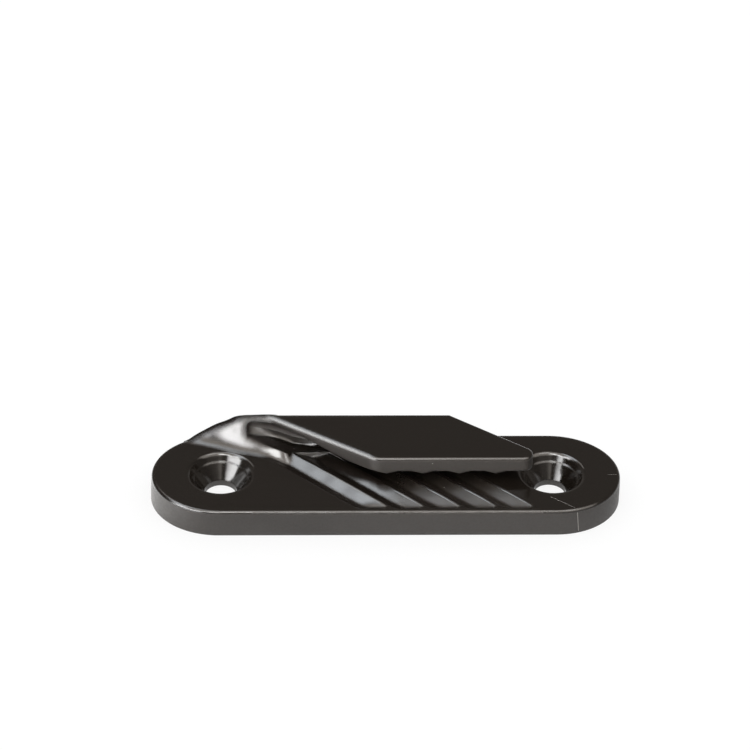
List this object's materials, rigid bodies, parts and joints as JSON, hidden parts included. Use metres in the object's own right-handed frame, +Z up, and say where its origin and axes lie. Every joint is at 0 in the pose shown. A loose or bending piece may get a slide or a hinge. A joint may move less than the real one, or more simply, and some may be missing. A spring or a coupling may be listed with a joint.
{
  "type": "jam cleat",
  "caption": "Side-entry jam cleat: an oval base plate with countersunk screw holes and an overhanging jaw above a ribbed rope channel.",
  "frame": {"origin": "centre of the flat underside", "axes": "+X along the plate towards the jaw's tip, +Y from the open front of the channel to its back wall, +Z up"},
  "size_m": [0.0826, 0.022, 0.0098],
  "materials": {
    "black_nylon": "glossy moulded nylon"
  },
  "bodies": {
    "root": {"cleat_body": "black_nylon"}
  },
  "joints": []
}
